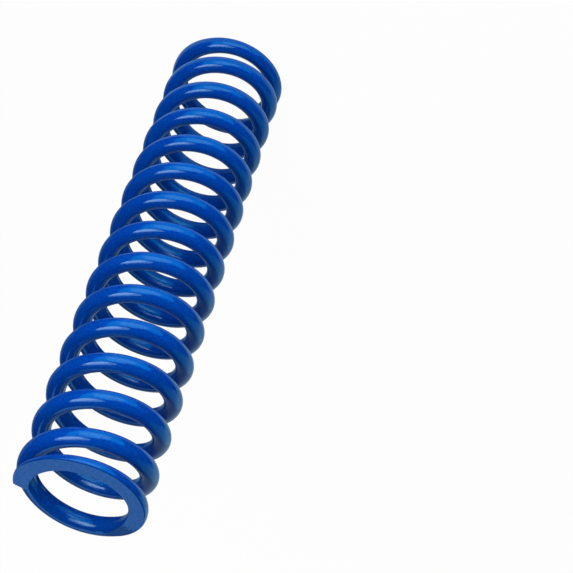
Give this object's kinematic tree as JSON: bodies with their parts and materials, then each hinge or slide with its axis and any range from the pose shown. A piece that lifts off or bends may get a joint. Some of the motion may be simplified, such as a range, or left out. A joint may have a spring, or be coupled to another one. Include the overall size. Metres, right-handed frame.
{
  "type": "coilover compression spring",
  "caption": "Right-hand wound round-wire compression spring with closed and ground ends, which sits over a shock absorber's body between two spring plates.",
  "frame": {"origin": "centre of the lower ground end, on the coil's axis", "axes": "+Z along the coil's axis from the lower ground end to the upper one, +X towards the lower tip of the wire"},
  "size_m": [0.1334, 0.1334, 0.6096],
  "materials": {
    "blue_coat": "gloss blue powder coat over steel wire, matt on the ground ends"
  },
  "bodies": {
    "root": {"coil_spring": "blue_coat"}
  },
  "joints": []
}
